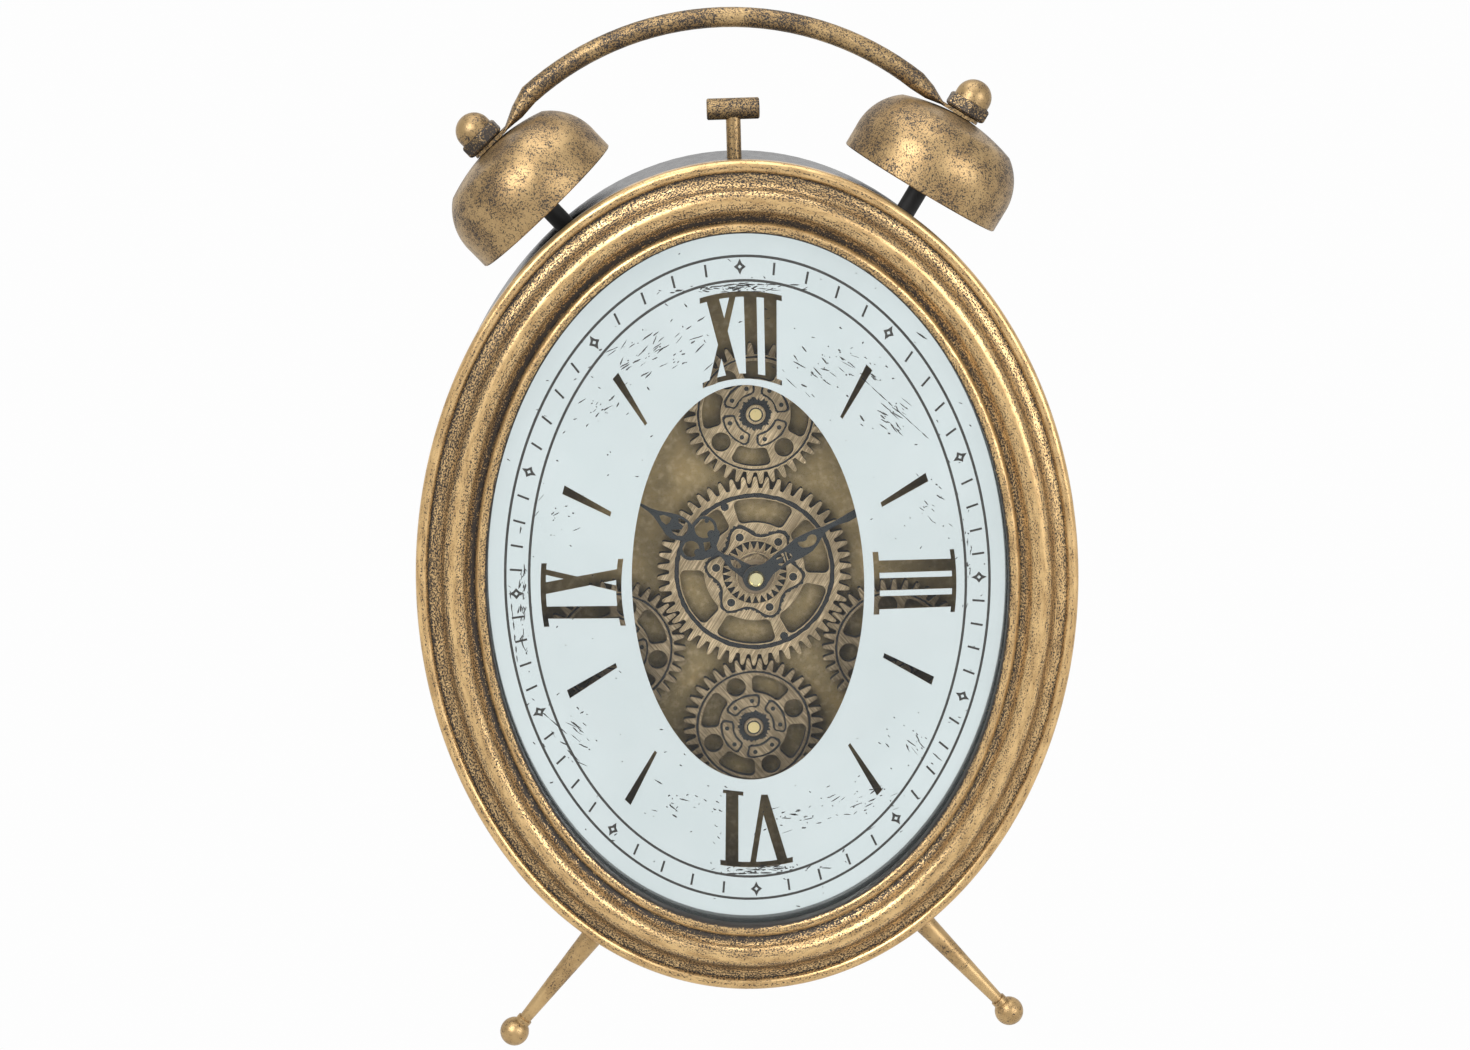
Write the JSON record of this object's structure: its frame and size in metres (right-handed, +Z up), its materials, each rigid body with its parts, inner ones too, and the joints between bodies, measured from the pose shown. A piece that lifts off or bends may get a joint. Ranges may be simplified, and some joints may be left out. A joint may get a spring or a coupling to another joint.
{
  "type": "gear clock",
  "caption": "Oval desk clock in antique gold with bells, a carrying bar and a T-knob, gears turning behind a mirrored glass, on ball feet.",
  "frame": {"origin": "on the table, under the middle of the whole clock's box", "axes": "+Z up, -Y out of the dial towards the viewer, +X to the viewer's right"},
  "size_m": [0.3, 0.0932, 0.4777],
  "materials": {
    "antique_gold": "antique gold paint rubbed over dark brown, speckled in the hollows",
    "black_paint": "glossy black enamel",
    "clear_glass": "polished, clear",
    "mirror_print": "silvered with dark printed marks",
    "plate_bronze": "dull bronze",
    "gear_bronze": "brushed bronze metallic coating",
    "hand_black": "satin black",
    "brass": "turned, satin",
    "steel": "plated",
    "black_plastic": "fine moulded grain",
    "cover_board": "black painted fibreboard",
    "cell_wrap": "plain printed sleeve"
  },
  "bodies": {
    "case": {"case_drum": "black_paint", "case_lugs": "black_paint", "bezel_ring": "antique_gold", "front_glass": "clear_glass", "mirror_layer": "mirror_print", "spacer_ring": "black_plastic", "base_plate": "plate_bronze", "plate_screws": "steel", "rear_cover": "cover_board", "rear_cover_screws": "steel", "gear_arbors": "steel", "movement_case": "black_plastic", "movement_bushing": "brass", "movement_nut": "brass", "gear_nut": "gear_bronze", "clock_battery": "cell_wrap", "battery_contacts": "steel", "drive_case": "black_plastic", "drive_bushing": "brass", "drive_nut": "brass", "drive_battery": "cell_wrap", "left_bell": "antique_gold", "right_bell": "antique_gold", "left_bell_stem": "black_paint", "right_bell_stem": "black_paint", "left_acorn_nut": "antique_gold", "right_acorn_nut": "antique_gold", "handle": "antique_gold", "knob_stem": "antique_gold", "knob_bar": "antique_gold", "left_leg": "antique_gold", "right_leg": "antique_gold", "rear_leg": "antique_gold", "left_foot": "antique_gold", "right_foot": "antique_gold", "rear_foot": "antique_gold"},
    "centre gear": {"centre_gear": "gear_bronze", "star_plate": "gear_bronze", "inner_gear": "gear_bronze"},
    "top gear": {"top_gear": "gear_bronze"},
    "bottom gear": {"bottom_gear": "gear_bronze", "drive_shaft": "steel"},
    "left gear": {"left_gear": "gear_bronze"},
    "right gear": {"right_gear": "gear_bronze"},
    "minute hand": {"minute_hand": "hand_black", "minute_arbor": "steel", "hand_nut": "brass"},
    "hour hand": {"hour_hand": "hand_black", "hour_pipe": "brass"},
    "set wheel": {"time_set_wheel": "black_plastic"},
    "drive switch": {"drive_switch": "black_plastic"}
  },
  "joints": [
    {"name": "centre_gear_turn", "type": "hinge", "parent": "case", "child": "centre gear", "pos_m": [0.0038, 0, 0.2216], "axis": [0, 1, 0], "continuous": true},
    {"name": "top_gear_turn", "type": "hinge", "parent": "case", "child": "top gear", "pos_m": [0.00612, 0, 0.29552], "axis": [0, 1, 0], "continuous": true},
    {"name": "bottom_gear_turn", "type": "hinge", "parent": "case", "child": "bottom gear", "pos_m": [0.00148, 0, 0.14768], "axis": [0, 1, 0], "continuous": true},
    {"name": "left_gear_turn", "type": "hinge", "parent": "case", "child": "left gear", "pos_m": [-0.06168, 0, 0.18722], "axis": [0, 1, 0], "continuous": true},
    {"name": "right_gear_turn", "type": "hinge", "parent": "case", "child": "right gear", "pos_m": [0.067, 0, 0.18318], "axis": [0, 1, 0], "continuous": true},
    {"name": "minute_hand_turn", "type": "hinge", "parent": "case", "child": "minute hand", "pos_m": [0.0038, 0, 0.2216], "axis": [0, 1, 0], "continuous": true},
    {"name": "hour_hand_turn", "type": "hinge", "parent": "case", "child": "hour hand", "pos_m": [0.0038, 0, 0.2216], "axis": [0, 1, 0], "continuous": true},
    {"name": "set_wheel_turn", "type": "hinge", "parent": "case", "child": "set wheel", "pos_m": [0.0178, 0, 0.2356], "axis": [0, 1, 0], "continuous": true},
    {"name": "drive_switch_slide", "type": "slide", "parent": "case", "child": "drive switch", "axis": [1, 0, 0], "range_m": [0, 0.0045]}
  ],
  "couplings": [
    {"joint": "top_gear_turn", "follows": "centre_gear_turn", "ratio": -1.3889},
    {"joint": "bottom_gear_turn", "follows": "centre_gear_turn", "ratio": -1.3889},
    {"joint": "left_gear_turn", "follows": "centre_gear_turn", "ratio": -1.3889},
    {"joint": "right_gear_turn", "follows": "centre_gear_turn", "ratio": -1.3889},
    {"joint": "hour_hand_turn", "follows": "minute_hand_turn", "ratio": 0.083333},
    {"joint": "set_wheel_turn", "follows": "minute_hand_turn", "ratio": -1}
  ]
}
